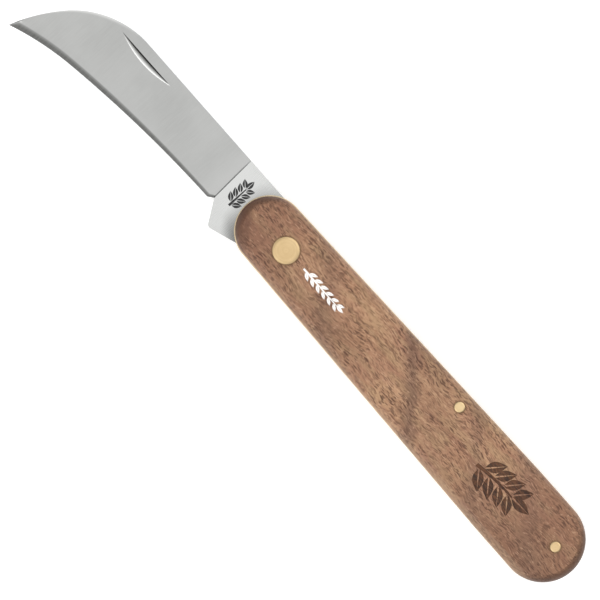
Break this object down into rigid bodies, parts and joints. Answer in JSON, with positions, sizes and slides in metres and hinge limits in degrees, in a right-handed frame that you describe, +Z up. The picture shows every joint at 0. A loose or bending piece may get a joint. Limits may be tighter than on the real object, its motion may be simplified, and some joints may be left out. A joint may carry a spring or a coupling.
{
  "type": "grafting knife",
  "caption": "Folding grafting knife with a hooked blade, a back spring and rounded wooden scales riveted over brass liners.",
  "frame": {"origin": "on the pivot axis, in the plane that the knife rests on when it lies on its rear scale", "axes": "+X runs along the handle from the pivot to the butt, +Y to the back of the handle and the blade's spine, +Z up through the thickness to the front scale"},
  "size_m": [0.1596, 0.0212, 0.0126],
  "materials": {
    "walnut": "oiled, open grain",
    "liner_brass": "satin",
    "rivet_brass": "sanded flush, satin",
    "blade_steel": "satin ground",
    "spring_steel": "satin"
  },
  "bodies": {
    "handle": {"rear_scale": "walnut", "rear_liner": "liner_brass", "back_spring": "spring_steel", "front_liner": "liner_brass", "front_scale": "walnut", "pivot_rivet": "rivet_brass", "rivet_collar": "rivet_brass", "spring_pin": "rivet_brass", "butt_pin": "rivet_brass"},
    "blade": {"blade": "blade_steel"}
  },
  "joints": [
    {"name": "blade_pivot", "type": "hinge", "parent": "handle", "child": "blade", "pos_m": [0, 0, 0.0063], "axis": [0, 0, 1], "range_deg": [0, 169], "deforming": ["back_spring"]}
  ]
}
